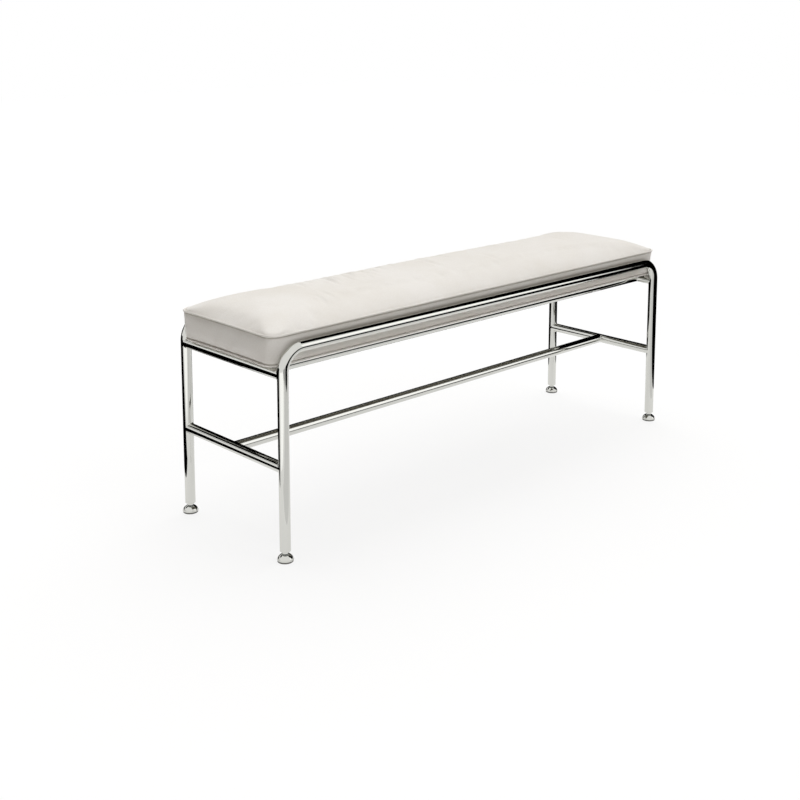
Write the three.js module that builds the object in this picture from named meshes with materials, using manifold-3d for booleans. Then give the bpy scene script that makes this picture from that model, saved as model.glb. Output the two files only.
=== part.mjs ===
// An upholstered bench: bent chrome tube side frames, welded cross tubes, screw feet and a leather cushion.
// Millimetres, +Z up. The origin is on the floor under the bench's middle.
// X runs along the bench, and -Y is its front.

import * as THREE from "three";
import { mergeVertices } from "three/addons/utils/BufferGeometryUtils.js";
import Module from "manifold-3d";

const wasm = await Module();
wasm.setup();

// Clearance between pieces that touch, and how far a drill runs past a face
const GAP = 0.3;
const OVERCUT = 1;

// Tube frame
const TUBE_RADIUS = 11;
const TUBE_WALL = 1.5;
const TUBE_SIDES = 20;
const LEG_SPACING_X = 1200;
const LEG_SPACING_Y = 325;
const RAIL_Z = 420;
const BEND_RADIUS = 45;
const BEND_STEPS = 6;
const SEAT_TUBE_Z = 372;
const SEAT_RAIL_INSET = 51.5;
const RUNG_Z = 187;
const LEG_END_Z = 21;

// Screw feet: thread M8 x 1.25, with room to turn 3 mm in and 12 mm out
const FOOT_SIDES = 16;
const PAD_RADIUS = 15.8;
const PAD_HEIGHT = 2.9;
const PAD_BOSS_RADIUS = 8;
const PAD_BOSS_TOP = 4.7;
const DOME_RADIUS = 16.5;
const DOME_SKIRT_TOP = 5;
const DOME_RISE = 12.5;
const DOME_STEPS = 5;
const SOCKET_RADIUS = 8.4;
const SOCKET_TOP = 8;
const STEM_FLANGE_RADIUS = 8;
const STEM_FLANGE_HEIGHT = 2.7;
const NECK_RADIUS = 5.75;
const NECK_BORE_RADIUS = 6.1;
const NECK_TOP = 36;
const STUD_RADIUS = 4;
const STUD_BORE_RADIUS = 4.25;
const STUD_TOP = 58;
const STUD_CHAMFER = 1;
const COUNTERBORE_TOP = 42;
const INSERT_TOP = 62;

// Cushion
const CUSHION_HALF_LENGTH = 621;
const CUSHION_HALF_WIDTH = 153.5;
const CUSHION_CORNER_RADIUS = 30;
const LEAST_CORNER_RADIUS = 6;
const CORNER_STEPS = 6;
const LONG_SIDE_STEPS = 10;
const SHORT_SIDE_STEPS = 4;
const TOP_WELT_Z = 446;
const BOTTOM_WELT_Z = 387.2;
const WELT_RADIUS = 2.2;
const WELT_SIDES = 6;
const WELT_GROOVE = 3.2;
const WELT_HALF_GROOVE = 4.5;
const TOP_WELT_INSET = { end: 0, side: 0 };
const BOTTOM_WELT_INSET = { end: 2.4, side: 4.6 };
const CROWN_START = 3.5;
const CROWN = 26;
const CROWN_POWER = 2.4;
const CROWN_INSETS = [3, 12, 28, 55, 90, 130];
const CROWN_ROUNDING = 0.8;
const FULL_ROUND = 0.97;
const BORDER_STATIONS = [0.3, 0.56, 0.8];
const RAIL_PINCH = 3;
const PINCH_END = 0.6;
const END_TUCK = 2.4;
const END_PULL = 3;
const SIDE_PULL = 1;
const LEATHER = 1.2;
const COVER_BUILD = 5;
const COVER_RETURN = 26;
const COVER_EDGE = { end: 8, side: 9.5 };
const INNER_EDGE = 13;
const DUST_COVER = 0.6;
const DUST_COVER_INSET = 17;
const BOARD = 12;
const BOARD_INSET = 17.5;
const BOARD_CORNER_RADIUS = 18;

// Seat screws, M6, and their tee nuts: the heads bear inside the rails and are reached through holes below
const SCREW_SPACING = 440;
const SCREW_RADIUS = 3;
const SCREW_SIDES = 10;
const SCREW_HOLE_RADIUS = 3.5;
const SCREW_ACCESS_RADIUS = 6.5;
const SCREW_SEAT_RISE = 7.4;
const SCREW_HEAD_RADIUS = 5.25;
const SCREW_HEAD_HEIGHT = 3.2;
const SCREW_HEAD_EDGE = 1;
const TEE_BORE_RADIUS = 3.3;
const TEE_BARREL_RADIUS = 4.3;
const TEE_BARREL_LENGTH = 8.5;
const TEE_FLANGE_RADIUS = 9;
const TEE_FLANGE = 1.4;

// Heights of the seat's layers, from the tops of the seat tubes upwards
const SEAT_TUBE_TOP = SEAT_TUBE_Z + TUBE_RADIUS;
const SEAT_TUBE_BOTTOM = SEAT_TUBE_Z - TUBE_RADIUS;
const DUST_COVER_Z = SEAT_TUBE_TOP + GAP;
const UNDERSIDE_Z = DUST_COVER_Z + DUST_COVER + GAP;
const BOARD_Z = UNDERSIDE_Z + LEATHER + GAP;
const BOARD_TOP = BOARD_Z + BOARD;
const CROWN_Z = TOP_WELT_Z + CROWN_START;

const LEG_X = LEG_SPACING_X / 2;
const LEG_Y = LEG_SPACING_Y / 2;
const SEAT_RAIL_Y = LEG_Y - SEAT_RAIL_INSET;

const CORNERS = [
  { name: "front_left", x: -LEG_X, y: -LEG_Y },
  { name: "front_right", x: LEG_X, y: -LEG_Y },
  { name: "rear_left", x: -LEG_X, y: LEG_Y },
  { name: "rear_right", x: LEG_X, y: LEG_Y },
];

// Finishes
const chrome = { color: 0xd6d8da, metalness: 1, roughness: 0.07 };
const zincSteel = { color: 0xa9abad, metalness: 1, roughness: 0.35 };
const leather = { color: 0xe6e0d6, metalness: 0, roughness: 0.5 };
const foam = { color: 0xe9dfb8, metalness: 0, roughness: 0.95 };
const plywood = { color: 0xc9a878, metalness: 0, roughness: 0.7 };
const cambric = { color: 0x6f6c60, metalness: 0, roughness: 0.95 };
const nylon = { color: 0x8a8a88, metalness: 0, roughness: 0.55 };

const bench = new THREE.Group();
bench.name = "bench";

function addPiece(name, geometry, finish) {
  const mesh = new THREE.Mesh(geometry, new THREE.MeshStandardMaterial(finish));
  mesh.name = name;
  bench.add(mesh);
}

// Booleans

function toSolid(geometry) {
  const bare = new THREE.BufferGeometry();
  bare.setAttribute("position", geometry.getAttribute("position").clone());
  bare.setIndex(geometry.index);
  const merged = mergeVertices(bare, 1e-3);
  return new wasm.Manifold(
    new wasm.Mesh({
      numProp: 3,
      vertProperties: new Float32Array(merged.getAttribute("position").array),
      triVerts: new Uint32Array(merged.index.array),
    }),
  );
}

function fromSolid(solid) {
  const mesh = solid.getMesh();
  const geometry = new THREE.BufferGeometry();
  geometry.setAttribute("position", new THREE.BufferAttribute(mesh.vertProperties, 3));
  geometry.setIndex(new THREE.BufferAttribute(mesh.triVerts, 1));
  geometry.computeVertexNormals();
  return geometry;
}

function cut(geometry, cutters) {
  const solid = cutters.reduce((left, cutter) => left.subtract(toSolid(cutter)), toSolid(geometry));
  return fromSolid(solid);
}

// Tubes

// A path through stations, each with its point and its true tangent.
// Its steps fall on the stations, so only where the tube bends.
class StationPath extends THREE.Curve {
  constructor(stations) {
    super();
    this.stations = stations;
  }

  between(t, key) {
    const last = this.stations.length - 1;
    const low = Math.min(Math.floor(t * last), last - 1);
    return this.stations[low][key].clone().lerp(this.stations[low + 1][key], t * last - low);
  }

  getPoint(t) {
    return this.between(t, "point");
  }

  getTangent(t) {
    return this.between(t, "tangent").normalize();
  }

  getUtoTmapping(u) {
    return u;
  }
}

function circle(radius) {
  return new THREE.Shape().absarc(0, 0, radius, 0, 2 * Math.PI);
}

function tubeSection(outer, inner) {
  const section = circle(outer);
  if (inner > 0) {
    section.holes.push(new THREE.Path().absarc(0, 0, inner, 0, 2 * Math.PI));
  }
  return section;
}

function sweep(stations, outer, inner) {
  return new THREE.ExtrudeGeometry(tubeSection(outer, inner), {
    steps: stations.length - 1,
    curveSegments: TUBE_SIDES / 2,
    bevelEnabled: false,
    extrudePath: new StationPath(stations),
  });
}

function straightStations(from, to) {
  const tangent = to.clone().sub(from).normalize();
  return [
    { point: from, tangent },
    { point: to, tangent },
  ];
}

// Up the left leg, round the bend, along the rail, round the other bend and down the right leg.
function sideFrameStations(y) {
  const stations = [{ point: new THREE.Vector3(-LEG_X, y, LEG_END_Z), tangent: new THREE.Vector3(0, 0, 1) }];
  const bendZ = RAIL_Z - BEND_RADIUS;
  for (const side of [-1, 1]) {
    for (let step = 0; step <= BEND_STEPS; step += 1) {
      const turn = (step / BEND_STEPS) * (Math.PI / 2);
      const angle = side < 0 ? Math.PI - turn : Math.PI / 2 - turn;
      stations.push({
        point: new THREE.Vector3(
          side * (LEG_X - BEND_RADIUS) + BEND_RADIUS * Math.cos(angle),
          y,
          bendZ + BEND_RADIUS * Math.sin(angle),
        ),
        tangent: new THREE.Vector3(Math.sin(angle), 0, -Math.cos(angle)),
      });
    }
  }
  stations.push({ point: new THREE.Vector3(LEG_X, y, LEG_END_Z), tangent: new THREE.Vector3(0, 0, -1) });
  return stations;
}

function crossStations(x, z) {
  return straightStations(new THREE.Vector3(x, -LEG_Y, z), new THREE.Vector3(x, LEG_Y, z));
}

function longStations(y, z) {
  return straightStations(new THREE.Vector3(-LEG_X, y, z), new THREE.Vector3(LEG_X, y, z));
}

function hollowTube(stations) {
  return sweep(stations, TUBE_RADIUS, TUBE_RADIUS - TUBE_WALL);
}

// The solid that a mating tube's end is coped to, so that it seats round this one.
function copeOf(stations) {
  return sweep(stations, TUBE_RADIUS + GAP, 0);
}

// The upright hole for a screw or its nut, run past both faces.
function drill(radius, bottom, top, x, y) {
  const geometry = new THREE.CylinderGeometry(radius, radius, top - bottom + 2 * OVERCUT, SCREW_SIDES);
  geometry.rotateX(Math.PI / 2);
  geometry.translate(x, y, (bottom + top) / 2);
  return geometry;
}

const screwPlaces = [-1, 1].flatMap((side) =>
  [-1, 0, 1].map((place) => ({ x: place * SCREW_SPACING, y: side * SEAT_RAIL_Y })),
);

function buildFrame() {
  const sideFrames = [-LEG_Y, LEG_Y].map(sideFrameStations);
  const crossbars = [-LEG_X, LEG_X].map((x) => crossStations(x, SEAT_TUBE_Z));
  const rungs = [-LEG_X, LEG_X].map((x) => crossStations(x, RUNG_Z));
  const legCopes = sideFrames.map(copeOf);
  const crossbarCopes = crossbars.map(copeOf);
  const rungCopes = rungs.map(copeOf);

  ["front", "rear"].forEach((name, i) => {
    addPiece(`${name}_side_frame`, hollowTube(sideFrames[i]), chrome);
    const y = i === 0 ? -SEAT_RAIL_Y : SEAT_RAIL_Y;
    const screwHoles = screwPlaces
      .filter((place) => place.y === y)
      .flatMap(({ x }) => [
        drill(SCREW_ACCESS_RADIUS, SEAT_TUBE_BOTTOM, SEAT_TUBE_Z - OVERCUT, x, y),
        drill(SCREW_HOLE_RADIUS, SEAT_TUBE_Z + OVERCUT, SEAT_TUBE_TOP, x, y),
      ]);
    const rail = hollowTube(longStations(y, SEAT_TUBE_Z));
    addPiece(`${name}_seat_rail`, cut(rail, [...crossbarCopes, ...screwHoles]), chrome);
  });
  ["left", "right"].forEach((name, i) => {
    addPiece(`${name}_seat_crossbar`, cut(hollowTube(crossbars[i]), legCopes), chrome);
    addPiece(`${name}_lower_rung`, cut(hollowTube(rungs[i]), legCopes), chrome);
  });
  addPiece("long_stretcher", cut(hollowTube(longStations(0, RUNG_Z)), rungCopes), chrome);
}

// Turned pieces

// Turns an outline of [radius, height] pairs, listed with the solid on its left, round the upright at x, y.
function turned(outline, sides, x, y) {
  const points = outline.map(([radius, height]) => new THREE.Vector2(radius, height));
  const onAxis = outline[0][0] === 0;
  if (!onAxis) {
    points.push(points[0].clone());
  }
  const geometry = new THREE.LatheGeometry(points, sides);
  geometry.rotateX(Math.PI / 2);
  geometry.translate(x, y, 0);
  return geometry;
}

function insertOutline() {
  const outer = TUBE_RADIUS - TUBE_WALL - GAP;
  return [
    [NECK_BORE_RADIUS, LEG_END_Z],
    [outer, LEG_END_Z],
    [outer, INSERT_TOP],
    [STUD_BORE_RADIUS, INSERT_TOP],
    [STUD_BORE_RADIUS, COUNTERBORE_TOP],
    [NECK_BORE_RADIUS, COUNTERBORE_TOP],
  ];
}

function stemOutline() {
  const flange = PAD_BOSS_TOP + GAP;
  return [
    [0, flange],
    [STEM_FLANGE_RADIUS, flange],
    [STEM_FLANGE_RADIUS, flange + STEM_FLANGE_HEIGHT],
    [NECK_RADIUS, flange + STEM_FLANGE_HEIGHT],
    [NECK_RADIUS, NECK_TOP],
    [STUD_RADIUS, NECK_TOP + NECK_RADIUS - STUD_RADIUS],
    [STUD_RADIUS, STUD_TOP - STUD_CHAMFER],
    [STUD_RADIUS - STUD_CHAMFER, STUD_TOP],
    [0, STUD_TOP],
  ];
}

// A skirt, an elliptical dome up to the neck, the neck's bore and the socket of the stem's flange.
function domeOutline() {
  const top = Math.acos((NECK_BORE_RADIUS + GAP) / DOME_RADIUS);
  const base = PAD_HEIGHT + GAP;
  const outline = [
    [SOCKET_RADIUS, base],
    [DOME_RADIUS, base],
  ];
  for (let step = 0; step <= DOME_STEPS; step += 1) {
    const angle = (step / DOME_STEPS) * top;
    outline.push([DOME_RADIUS * Math.cos(angle), DOME_SKIRT_TOP + DOME_RISE * Math.sin(angle)]);
  }
  outline.push([NECK_BORE_RADIUS, DOME_SKIRT_TOP + DOME_RISE * Math.sin(top)]);
  outline.push([NECK_BORE_RADIUS, SOCKET_TOP]);
  outline.push([SOCKET_RADIUS, SOCKET_TOP]);
  return outline;
}

function padOutline() {
  return [
    [0, 0],
    [PAD_RADIUS, 0],
    [PAD_RADIUS, PAD_HEIGHT],
    [PAD_BOSS_RADIUS, PAD_HEIGHT],
    [PAD_BOSS_RADIUS, PAD_BOSS_TOP],
    [0, PAD_BOSS_TOP],
  ];
}

function buildFeet() {
  for (const { name, x, y } of CORNERS) {
    addPiece(`${name}_leg_insert`, turned(insertOutline(), FOOT_SIDES, x, y), zincSteel);
    addPiece(`${name}_foot_stem`, turned(stemOutline(), FOOT_SIDES, x, y), chrome);
    addPiece(`${name}_foot_dome`, turned(domeOutline(), FOOT_SIDES, x, y), chrome);
    addPiece(`${name}_foot_pad`, turned(padOutline(), FOOT_SIDES, x, y), nylon);
  }
}

function screwOutline() {
  const seat = SEAT_TUBE_Z + SCREW_SEAT_RISE;
  const head = seat - SCREW_HEAD_HEIGHT;
  return [
    [0, head],
    [SCREW_HEAD_RADIUS - SCREW_HEAD_EDGE, head],
    [SCREW_HEAD_RADIUS, head + SCREW_HEAD_EDGE],
    [SCREW_HEAD_RADIUS, seat],
    [SCREW_RADIUS, seat],
    [SCREW_RADIUS, BOARD_TOP - TEE_FLANGE],
    [0, BOARD_TOP - TEE_FLANGE],
  ];
}

function teeNutOutline() {
  const top = BOARD_TOP - GAP;
  const flange = top - TEE_FLANGE;
  return [
    [TEE_BORE_RADIUS, flange - TEE_BARREL_LENGTH],
    [TEE_BARREL_RADIUS, flange - TEE_BARREL_LENGTH],
    [TEE_BARREL_RADIUS, flange],
    [TEE_FLANGE_RADIUS, flange],
    [TEE_FLANGE_RADIUS, top],
    [TEE_BORE_RADIUS, top],
  ];
}

function buildFasteners() {
  screwPlaces.forEach(({ x, y }, i) => {
    addPiece(`seat_screw_${i + 1}`, turned(screwOutline(), SCREW_SIDES, x, y), zincSteel);
    addPiece(`tee_nut_${i + 1}`, turned(teeNutOutline(), SCREW_SIDES, x, y), zincSteel);
  });
}

// Cushion

// Plan of the cushion at an inset from its widest line: a rectangle with round corners and drawn-in sides.
function cushionOutline({ end: endInset, side: sideInset, radius }) {
  const halfX = CUSHION_HALF_LENGTH - endInset;
  const halfY = CUSHION_HALF_WIDTH - sideInset;
  const points = [];
  for (let corner = 0; corner < 4; corner += 1) {
    const middle = ((corner + 0.5) * Math.PI) / 2;
    const centreX = Math.sign(Math.cos(middle)) * (halfX - radius);
    const centreY = Math.sign(Math.sin(middle)) * (halfY - radius);
    for (let step = 0; step <= CORNER_STEPS; step += 1) {
      const angle = ((corner + step / CORNER_STEPS) * Math.PI) / 2;
      points.push(new THREE.Vector2(centreX + radius * Math.cos(angle), centreY + radius * Math.sin(angle)));
    }
    const alongX = corner % 2 === 0;
    const sideSteps = alongX ? LONG_SIDE_STEPS : SHORT_SIDE_STEPS;
    const start = points[points.length - 1];
    const finish = new THREE.Vector2(alongX ? -start.x : start.x, alongX ? start.y : -start.y);
    for (let step = 1; step < sideSteps; step += 1) {
      points.push(start.clone().lerp(finish, step / sideSteps));
    }
  }
  return points.map(({ x, y }) => {
    const endPull = (END_PULL / halfX) * (1 - (y / halfY) ** 2);
    const sidePull = (SIDE_PULL / halfY) * (1 - (x / halfX) ** 2);
    return new THREE.Vector2(x * (1 - endPull), y * (1 - sidePull));
  });
}

function ring(station) {
  return cushionOutline(station).map((point) => new THREE.Vector3(point.x, point.y, station.z));
}

// A station of the cushion: its insets at the ends and along the sides, its corner radius and its height.
function edgeStation(end, side, z) {
  const radius = Math.max(CUSHION_CORNER_RADIUS - Math.min(end, side), LEAST_CORNER_RADIUS);
  return { end, side, radius, z };
}

// A station of the border at a share of the height between the welts.
// It is tucked in below at the ends, held in by the rails along the sides, and full at the top welt.
function borderStation(share) {
  const end = END_TUCK * (1 - share) ** 2;
  const side = RAIL_PINCH * (1 - THREE.MathUtils.smoothstep(share, PINCH_END, 1));
  return edgeStation(end, side, THREE.MathUtils.lerp(BOTTOM_WELT_Z, TOP_WELT_Z, share));
}

// A station of the crowned top at an inset from the edge.
// The crown is steep at the edge and level in the middle, and its corners grow rounder inwards.
function crownStation(inset) {
  const share = 1 - (1 - inset / CUSHION_HALF_WIDTH) ** CROWN_POWER;
  const radius = Math.min(
    CUSHION_CORNER_RADIUS + CROWN_ROUNDING * inset,
    FULL_ROUND * (CUSHION_HALF_WIDTH - inset),
  );
  return { end: inset, side: inset, radius, z: CROWN_Z + CROWN * share };
}

// The same station on a parallel surface inside the cushion.
function deeper({ end, side, radius, z }, depth) {
  return { end: end + depth, side: side + depth, radius: radius - depth, z: z - depth };
}

// Skins rings of equal count in order and closes the first and the last with a cap.
function loft(rings) {
  const count = rings[0].length;
  const index = [];
  for (let level = 0; level + 1 < rings.length; level += 1) {
    for (let i = 0; i < count; i += 1) {
      const next = (i + 1) % count;
      const low = level * count;
      const high = low + count;
      index.push(low + i, low + next, high + next);
      index.push(low + i, high + next, high + i);
    }
  }
  const flat = (points) => points.map(({ x, y }) => new THREE.Vector2(x, y));
  const last = (rings.length - 1) * count;
  for (const [a, b, c] of THREE.ShapeUtils.triangulateShape(flat(rings[0]), [])) {
    index.push(a, c, b);
  }
  for (const [a, b, c] of THREE.ShapeUtils.triangulateShape(flat(rings[rings.length - 1]), [])) {
    index.push(last + a, last + b, last + c);
  }
  const geometry = new THREE.BufferGeometry().setFromPoints(rings.flat());
  geometry.setIndex(index);
  geometry.computeVertexNormals();
  return geometry;
}

const borderStations = BORDER_STATIONS.map(borderStation);
const crownStations = CROWN_INSETS.map(crownStation);

// The cover: leather and wadding over the foam, turned under the board all round and open below.
function coverGeometry() {
  const share = WELT_HALF_GROOVE / (TOP_WELT_Z - BOTTOM_WELT_Z);
  const { end, side } = BOTTOM_WELT_INSET;
  const inside = [...crownStations.slice(1).reverse(), ...borderStations.slice().reverse()];
  const innerZ = UNDERSIDE_Z + LEATHER;
  return loft(
    [
      ...inside.map((station) => deeper(station, COVER_BUILD)),
      edgeStation(INNER_EDGE, INNER_EDGE, innerZ),
      edgeStation(COVER_RETURN, COVER_RETURN, innerZ),
      edgeStation(COVER_RETURN, COVER_RETURN, UNDERSIDE_Z),
      edgeStation(COVER_EDGE.end, COVER_EDGE.side, UNDERSIDE_Z),
      edgeStation(end + WELT_GROOVE, side + WELT_GROOVE, BOTTOM_WELT_Z),
      borderStation(share),
      ...borderStations,
      borderStation(1 - share),
      edgeStation(WELT_GROOVE, WELT_GROOVE, TOP_WELT_Z),
      ...crownStations,
    ].map(ring),
  );
}

function foamGeometry() {
  const build = COVER_BUILD + GAP;
  const inside = [...borderStations, ...crownStations.slice(1)].map((station) => deeper(station, build));
  const foot = edgeStation(BOARD_INSET, BOARD_INSET, BOARD_TOP + GAP);
  return loft([foot, ...inside].map(ring));
}

// A welt: a round cord that follows the cushion's plan and closes on itself.
function weltGeometry({ end, side }, z) {
  const line = cushionOutline(edgeStation(end, side, z));
  const count = line.length;
  const points = line.flatMap((point, i) => {
    const along = line[(i + 1) % count].clone().sub(line[(i + count - 1) % count]).normalize();
    return Array.from({ length: WELT_SIDES }, (_, k) => {
      const angle = (k / WELT_SIDES) * 2 * Math.PI;
      const out = WELT_RADIUS * Math.cos(angle);
      const up = WELT_RADIUS * Math.sin(angle);
      return new THREE.Vector3(point.x + out * along.y, point.y - out * along.x, z + up);
    });
  });
  const index = [];
  for (let i = 0; i < count; i += 1) {
    for (let k = 0; k < WELT_SIDES; k += 1) {
      const here = i * WELT_SIDES;
      const there = ((i + 1) % count) * WELT_SIDES;
      const next = (k + 1) % WELT_SIDES;
      index.push(here + k, there + k, there + next);
      index.push(here + k, there + next, here + next);
    }
  }
  const geometry = new THREE.BufferGeometry().setFromPoints(points);
  geometry.setIndex(index);
  geometry.computeVertexNormals();
  return geometry;
}

function roundedPlate(inset, radius, thickness, bottom) {
  const halfX = CUSHION_HALF_LENGTH - inset;
  const halfY = CUSHION_HALF_WIDTH - inset;
  const outline = new THREE.Shape();
  outline.absarc(halfX - radius, halfY - radius, radius, 0, Math.PI / 2);
  outline.absarc(radius - halfX, halfY - radius, radius, Math.PI / 2, Math.PI);
  outline.absarc(radius - halfX, radius - halfY, radius, Math.PI, 1.5 * Math.PI);
  outline.absarc(halfX - radius, radius - halfY, radius, 1.5 * Math.PI, 2 * Math.PI);
  const plate = new THREE.ExtrudeGeometry(outline, {
    depth: thickness,
    curveSegments: CORNER_STEPS / 2,
    bevelEnabled: false,
  });
  plate.translate(0, 0, bottom);
  return plate;
}

function buildCushion() {
  const flangeSeat = BOARD_TOP - TEE_FLANGE - 2 * GAP + OVERCUT;
  const teeSeats = screwPlaces.flatMap(({ x, y }) => [
    drill(TEE_BARREL_RADIUS + GAP, BOARD_Z, BOARD_TOP, x, y),
    drill(TEE_FLANGE_RADIUS + GAP, flangeSeat, BOARD_TOP, x, y),
  ]);
  const dustHoles = screwPlaces.map(({ x, y }) =>
    drill(SCREW_HOLE_RADIUS, DUST_COVER_Z, DUST_COVER_Z + DUST_COVER, x, y),
  );
  const board = roundedPlate(BOARD_INSET, BOARD_CORNER_RADIUS, BOARD, BOARD_Z);
  const dust = roundedPlate(DUST_COVER_INSET, BOARD_CORNER_RADIUS, DUST_COVER, DUST_COVER_Z);
  addPiece("seat_board", cut(board, teeSeats), plywood);
  addPiece("dust_cover", cut(dust, dustHoles), cambric);
  addPiece("foam_core", foamGeometry(), foam);
  addPiece("cushion_cover", coverGeometry(), leather);
  addPiece("top_welt", weltGeometry(TOP_WELT_INSET, TOP_WELT_Z), leather);
  addPiece("bottom_welt", weltGeometry(BOTTOM_WELT_INSET, BOTTOM_WELT_Z), leather);
}

buildFrame();
buildFeet();
buildFasteners();
buildCushion();

export default bench;
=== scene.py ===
"""Looks of an upholstered tubular-steel bench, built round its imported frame.

Every length is in metres unless its name ends in _mm. X runs along the bench, -Y is its front and Z is up.
"""

import logging
import math
from collections.abc import Iterable, Sequence
from dataclasses import dataclass, field
from enum import Enum
from typing import Any

import bmesh
import bpy
import numpy as np
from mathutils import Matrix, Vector


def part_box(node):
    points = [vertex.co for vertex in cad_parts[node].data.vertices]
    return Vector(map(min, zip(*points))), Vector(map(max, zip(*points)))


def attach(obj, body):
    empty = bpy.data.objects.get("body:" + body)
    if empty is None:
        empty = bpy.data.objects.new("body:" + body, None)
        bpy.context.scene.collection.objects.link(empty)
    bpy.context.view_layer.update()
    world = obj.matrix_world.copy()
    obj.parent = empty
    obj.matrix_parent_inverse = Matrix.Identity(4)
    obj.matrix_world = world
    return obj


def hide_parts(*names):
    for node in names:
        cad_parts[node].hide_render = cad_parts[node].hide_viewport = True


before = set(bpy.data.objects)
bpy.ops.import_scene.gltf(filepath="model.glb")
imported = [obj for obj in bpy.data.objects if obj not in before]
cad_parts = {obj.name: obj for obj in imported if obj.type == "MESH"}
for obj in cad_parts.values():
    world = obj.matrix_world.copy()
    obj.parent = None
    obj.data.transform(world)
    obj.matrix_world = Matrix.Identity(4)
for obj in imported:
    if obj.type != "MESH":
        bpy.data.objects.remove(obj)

LOG = logging.getLogger("bench")
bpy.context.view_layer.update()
MM = 0.001
FRAME_BODY = "bench_frame"
SHARP_ANGLE = math.radians(38)
MERGE = 1e-6
# name of the point attribute that holds painted shade: a shadow line beside each welt, and shade behind and
# below the rails
PAINTED_SHADE = "seam"
Array = np.ndarray
Tree = bpy.types.NodeTree
Socket = bpy.types.NodeSocket
Profile = list[tuple[float, float]]


class Slot(Enum):
    """Names of the material slots; each new piece is passed one."""

    TUBE = "chrome_tube"
    FOOT = "chrome_foot"
    NYLON = "foot_nylon"
    ZINC = "zinc_steel"
    LEATHER = "seat_leather"
    DUST = "dust_cloth"


# Colours and nodes


def linear(colour: str) -> tuple[float, float, float, float]:
    """Turns an sRGB hex colour into a linear one.

    Args:
        colour: six hex digits after a hash sign.

    Returns:
        Linear red, green, blue and an alpha of 1.
    """
    srgb = np.array([int(colour[i : i + 2], 16) for i in (1, 3, 5)]) / 255
    rgb = np.where(srgb <= 0.04045, srgb / 12.92, ((srgb + 0.055) / 1.055) ** 2.4)
    return (*rgb.tolist(), 1.0)


def per_metre(size_mm: float) -> float:
    """The texture scale at which one cell of a pattern measures size_mm."""
    return 1 / (size_mm * MM)


def add_node(
    tree: Tree,
    kind: str,
    settings: dict[str, Any] | None = None,
    inputs: dict[str | int, Any] | None = None,
) -> bpy.types.Node:
    """Adds a node with its settings, and sets or links its inputs.

    Args:
        tree: the node tree.
        kind: the node's type name.
        settings: values of the node's own properties.
        inputs: a value or an output socket for each input, by name or number.

    Returns:
        The new node.
    """
    node = tree.nodes.new(kind)
    for key, value in (settings or {}).items():
        setattr(node, key, value)
    for key, value in (inputs or {}).items():
        if isinstance(value, bpy.types.NodeSocket):
            tree.links.new(value, node.inputs[key])
        else:
            node.inputs[key].default_value = value
    return node


def add_ramp(tree: Tree, factor: Socket, stops: Sequence[tuple]) -> Socket:
    """Adds a colour ramp.

    Args:
        tree: the node tree.
        factor: the socket that drives the ramp.
        stops: pairs of position and linear colour, in rising order.

    Returns:
        The ramp's colour.
    """
    ramp = add_node(tree, "ShaderNodeValToRGB", inputs={"Fac": factor})
    elements = ramp.color_ramp.elements
    while len(elements) < len(stops):
        elements.new(1.0)
    for element, (position, colour) in zip(elements, stops):
        element.position = position
        element.color = colour
    return ramp.outputs["Color"]


def add_noise(tree: Tree, place: Socket, size_mm: float, detail: float, **more: Any) -> Socket:
    """Adds a noise whose cells measure size_mm. More inputs are given by name. Returns its value."""
    inputs = {"Vector": place, "Scale": per_metre(size_mm), "Detail": detail, **more}
    return add_node(tree, "ShaderNodeTexNoise", inputs=inputs).outputs["Fac"]


def add_bump(tree: Tree, height: Socket, depth_mm: float, strength: float = 1.0, **more: Any) -> Socket:
    """Adds a bump of a depth in millimetres. More inputs are given by name. Returns its normal."""
    inputs = {"Strength": strength, "Distance": depth_mm * MM, "Height": height, **more}
    return add_node(tree, "ShaderNodeBump", inputs=inputs).outputs["Normal"]


def add_mix(tree: Tree, factor: Socket | float, first: Any, second: Any) -> Socket:
    """Adds a mix of two colours, each a socket or a colour. Returns the mixed colour."""
    inputs = {"Factor": factor, 6: first, 7: second}
    return add_node(tree, "ShaderNodeMix", {"data_type": "RGBA"}, inputs).outputs[2]


def grey(value: float) -> tuple[float, float, float, float]:
    """A linear grey."""
    return (value, value, value, 1.0)


def start_material(name: str) -> tuple[bpy.types.Material, Tree, Socket]:
    """Starts an empty node material.

    Args:
        name: the material's name.

    Returns:
        The material, its tree and its Object coordinates.
    """
    material = bpy.data.materials.new(name)
    material.use_nodes = True
    tree = material.node_tree
    tree.nodes.clear()
    coordinates = add_node(tree, "ShaderNodeTexCoord")
    return material, tree, coordinates.outputs["Object"]


def end_material(tree: Tree, shader: dict[str, Any]) -> None:
    """Ends a material with a Principled shader that has these inputs."""
    principled = add_node(tree, "ShaderNodeBsdfPrincipled", inputs=shader)
    add_node(tree, "ShaderNodeOutputMaterial", inputs={"Surface": principled.outputs["BSDF"]})


# Finishes


@dataclass(frozen=True)
class ChromePlate:
    """Chrome plated steel, polished: mirror bright, with the faint ripple that polishing leaves on a tube."""

    name: str
    colour: str = "#d3d3ce"
    polish: tuple[float, float] = (0.035, 0.075)
    smudge_mm: float = 55
    ripple_mm: float = 26
    ripple_depth_mm: float = 0.012

    def material(self) -> bpy.types.Material:
        """Makes the material: soft cloudy polish in the roughness and a very shallow ripple in the bump."""
        material, tree, place = start_material(self.name)
        smudge = add_noise(tree, place, self.smudge_mm, 4.0)
        ripple = add_noise(tree, place, self.ripple_mm, 1.0)
        stops = [(0.35, grey(self.polish[0])), (0.7, grey(self.polish[1]))]
        shader = {
            "Base Color": linear(self.colour),
            "Metallic": 1.0,
            "Roughness": add_ramp(tree, smudge, stops),
            "Normal": add_bump(tree, ripple, self.ripple_depth_mm),
        }
        end_material(tree, shader)
        return material


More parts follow.
